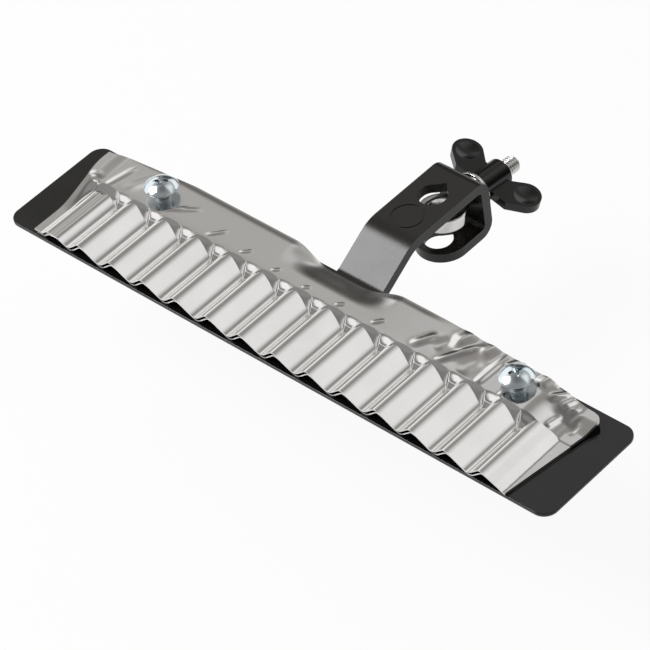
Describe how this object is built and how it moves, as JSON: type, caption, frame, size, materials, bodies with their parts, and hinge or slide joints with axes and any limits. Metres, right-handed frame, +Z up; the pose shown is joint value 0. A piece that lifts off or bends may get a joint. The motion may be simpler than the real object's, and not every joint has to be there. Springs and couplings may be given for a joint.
{
  "type": "metal guiro",
  "caption": "Mountable metal guiro: crimped steel sheets rattle loosely on a thin black plate; a bent strap with eye bolt and wing nut clamps a vertical percussion rod.",
  "frame": {"origin": "on the axis of the clamped rod, halfway up the clamp loop", "axes": "+X along the plate to the right when its crimps face the player, +Y from the plate through the clamp loop to the wing nut, +Z up along the rod"},
  "size_m": [0.3048, 0.1614, 0.0339],
  "materials": {
    "black_lacquer": "gloss",
    "strap_black": "satin",
    "bright_steel": "bright rolled",
    "zinc": "blue zinc plated",
    "bright_hardware": "bright plated",
    "nylon": "plain nylon",
    "nut_black": "gloss"
  },
  "bodies": {
    "frame": {"base_plate": "black_lacquer", "ribbon_screws": "zinc", "jam_nuts": "zinc", "plate_washers": "zinc", "lock_nuts": "zinc", "lock_nut_inserts": "nylon", "mount_bracket": "strap_black", "bracket_rivets": "black_lacquer"},
    "lower_sheet": {"lower_ribbon": "bright_steel"},
    "upper_sheet": {"upper_ribbon": "bright_steel"},
    "eye": {"eye_bolt": "bright_hardware"},
    "nut": {"wing_nut": "nut_black", "flat_washer": "bright_hardware", "spring_washer": "bright_hardware"}
  },
  "joints": [
    {"name": "lower_ribbon_lift", "type": "slide", "parent": "frame", "child": "lower_sheet", "axis": [0, 0, 1], "range_m": [0, 0.0015]},
    {"name": "upper_ribbon_lift", "type": "slide", "parent": "lower_sheet", "child": "upper_sheet", "axis": [0, 0, 1], "range_m": [0, 0.002]},
    {"name": "wing_nut_turn", "type": "hinge", "parent": "frame", "child": "nut", "pos_m": [0, 0.01888, -0.00067], "axis": [0, 0.9925, -0.1219], "range_deg": [-255, 1530]},
    {"name": "eye_bolt_slide", "type": "slide", "parent": "frame", "child": "eye", "axis": [0, 0.9925, -0.1219], "range_m": [-0.00601, 0.00101]}
  ],
  "couplings": [
    {"joint": "eye_bolt_slide", "follows": "wing_nut_turn", "m_per_rad": -0.00022457}
  ]
}
